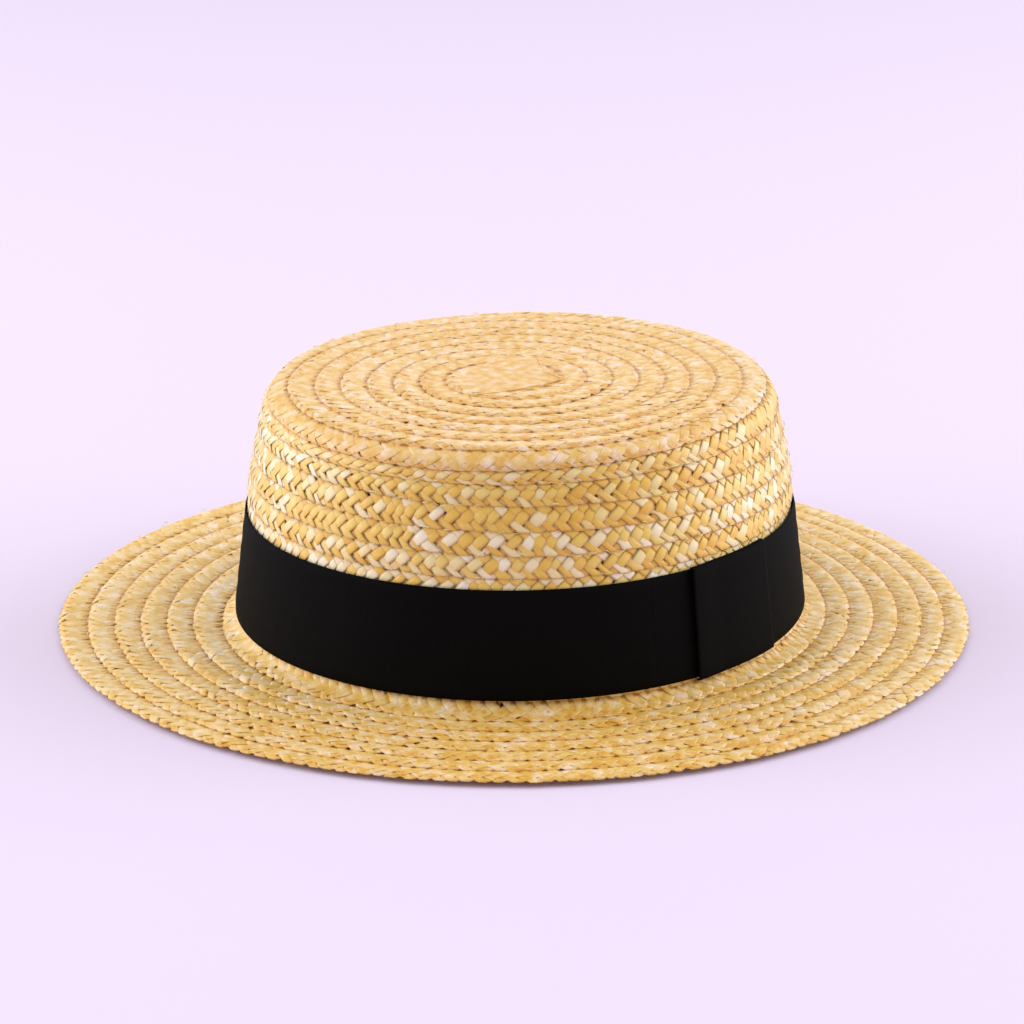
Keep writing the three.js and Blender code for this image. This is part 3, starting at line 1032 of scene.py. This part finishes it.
def floor_sheet():
    """A wide flat floor under the hat."""
    half = FLOOR_HALF
    points = [(-half, -half, 0), (half, -half, 0), (half, half, 0), (-half, half, 0)]
    floor = surface("floor", np.array(points), np.array([[0, 1, 2, 3]]), shade=False)
    material = bpy.data.materials.new("pale_floor")
    shader = nodes_of(material)[3]
    shader.inputs["Base Color"].default_value = FLOOR_COLOUR
    shader.inputs["Roughness"].default_value = 0.9
    shader.inputs["Specular IOR Level"].default_value = 0.1
    floor.data.materials.append(material)


def area_light(name, place, power):
    """A square soft light at a place in metres, turned to face the hat."""
    data = bpy.data.lights.new(name, "AREA")
    data.shape = "SQUARE"
    data.size = LIGHT_SIZE
    data.energy = power
    data.color = LIGHT_COLOUR
    light = bpy.data.objects.new(name, data)
    light.location = place
    direction = Vector(LIGHT_AIM) - Vector(place)
    light.rotation_euler = direction.to_track_quat("-Z", "Y").to_euler()
    bpy.context.scene.collection.objects.link(light)


def camera_direction(azimuth_deg, elevation_deg, distance):
    """A place at a distance, by azimuth from the camera's own and by elevation."""
    azimuth = math.radians(CAMERA_AZIMUTH_DEG + azimuth_deg)
    elevation = math.radians(elevation_deg)
    flat = distance * math.cos(elevation)
    return (flat * math.sin(azimuth), -flat * math.cos(azimuth), distance * math.sin(elevation))


def add_camera():
    """The camera at the photograph's place, looking along its own azimuth and elevation."""
    data = bpy.data.cameras.new("camera")
    data.sensor_width = SENSOR_WIDTH
    data.lens = FOCAL_PIXELS / IMAGE_PIXELS * SENSOR_WIDTH
    data.clip_end = 50
    camera = bpy.data.objects.new("camera", data)
    azimuth = math.radians(CAMERA_AZIMUTH_DEG)
    elevation = math.radians(CAMERA_ELEVATION_DEG)
    look = Vector((
        -math.sin(azimuth) * math.cos(elevation),
        math.cos(azimuth) * math.cos(elevation),
        -math.sin(elevation),
    ))
    turn = look.to_track_quat("-Z", "Y").to_matrix().to_4x4()
    roll = Matrix.Rotation(-CAMERA_ROLL, 4, "Z")
    camera.matrix_world = Matrix.Translation(Vector(CAMERA_PLACE) * MM) @ turn @ roll
    bpy.context.scene.collection.objects.link(camera)
    bpy.context.scene.camera = camera


def add_world():
    """A pale surround whose strength goes by direction alone."""
    world = bpy.data.worlds.new("surround")
    world.use_nodes = True
    nodes, links = world.node_tree.nodes, world.node_tree.links
    direction = nodes.new("ShaderNodeTexCoord")
    facing = nodes.new("ShaderNodeVectorMath")
    facing.operation = "DOT_PRODUCT"
    facing.inputs[1].default_value = camera_direction(0, 10, 1)
    dim = nodes.new("ShaderNodeMapRange")
    dim.inputs["From Min"].default_value = -0.2
    dim.inputs["From Max"].default_value = 1.0
    dim.inputs["To Min"].default_value = WORLD_BRIGHT
    dim.inputs["To Max"].default_value = WORLD_DIM
    links.new(direction.outputs["Generated"], facing.inputs[0])
    links.new(facing.outputs["Value"], dim.inputs["Value"])
    nodes["Background"].inputs["Color"].default_value = WORLD_COLOUR
    parts = nodes.new("ShaderNodeSeparateXYZ")
    links.new(direction.outputs["Generated"], parts.inputs[0])
    low = map_node(world.node_tree, parts.outputs["Z"], 0.0, 0.7, WORLD_LOW, 1.0)
    strength = math_node(world.node_tree, "MULTIPLY", dim.outputs["Result"], low)
    links.new(strength, nodes["Background"].inputs["Strength"])
    bpy.context.scene.world = world


floor_sheet()
add_world()
for name, azimuth_deg, elevation_deg, distance, power in SIDE_LIGHTS:
    area_light(name, camera_direction(azimuth_deg, elevation_deg, distance), power)
add_camera()

bpy.context.scene.view_settings.view_transform = "Standard"
